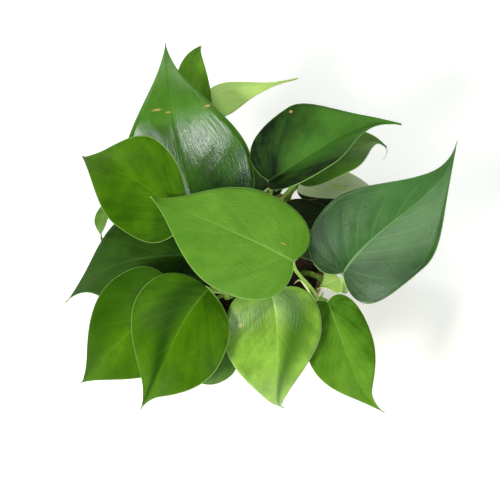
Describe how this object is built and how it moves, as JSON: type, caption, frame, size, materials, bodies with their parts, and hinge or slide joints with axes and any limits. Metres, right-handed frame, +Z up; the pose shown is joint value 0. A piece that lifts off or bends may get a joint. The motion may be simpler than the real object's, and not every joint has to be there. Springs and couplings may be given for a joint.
{
  "type": "potted heartleaf philodendron",
  "caption": "Bushy heartleaf philodendron with glossy heart-shaped leaves on thin green stems, in a tapered plastic pot of soil.",
  "frame": {"origin": "centre of the pot's flat underside", "axes": "+Z up along the pot's axis; the front, which the camera looks down on, faces -Y, and +X is to its right"},
  "size_m": [0.2512, 0.2444, 0.1886],
  "materials": {
    "pot_plastic": "satin moulded",
    "soil": "rough crumbly peat",
    "stem_green": "smooth fleshy",
    "leaf_fresh": "waxy semi-gloss",
    "leaf_mature": "waxy gloss",
    "leaf_young": "soft satin"
  },
  "bodies": {
    "root": {"pot": "pot_plastic", "soil": "soil", "stem_right_front": "stem_green", "stem_right": "stem_green", "stem_front": "stem_green", "stem_left": "stem_green", "stem_back_left": "stem_green", "stem_back_right": "stem_green", "stem_back": "stem_green", "leaf_01": "leaf_fresh", "leaf_02": "leaf_mature", "leaf_03": "leaf_mature", "leaf_04": "leaf_fresh", "leaf_05": "leaf_fresh", "leaf_06": "leaf_fresh", "leaf_07": "leaf_mature", "leaf_08": "leaf_fresh", "leaf_09": "leaf_fresh", "leaf_10": "leaf_mature", "leaf_11": "leaf_mature", "leaf_12": "leaf_mature", "leaf_13": "leaf_fresh", "leaf_14": "leaf_young", "leaf_15": "leaf_young", "leaf_16": "leaf_mature", "leaf_17": "leaf_young", "leaf_18": "leaf_young", "leaf_19": "leaf_mature", "leaf_20": "leaf_mature", "leaf_21": "leaf_mature", "leaf_22": "leaf_mature", "leaf_23": "leaf_mature", "leaf_24": "leaf_mature", "leaf_25": "leaf_mature", "leaf_26": "leaf_mature"}
  },
  "joints": []
}
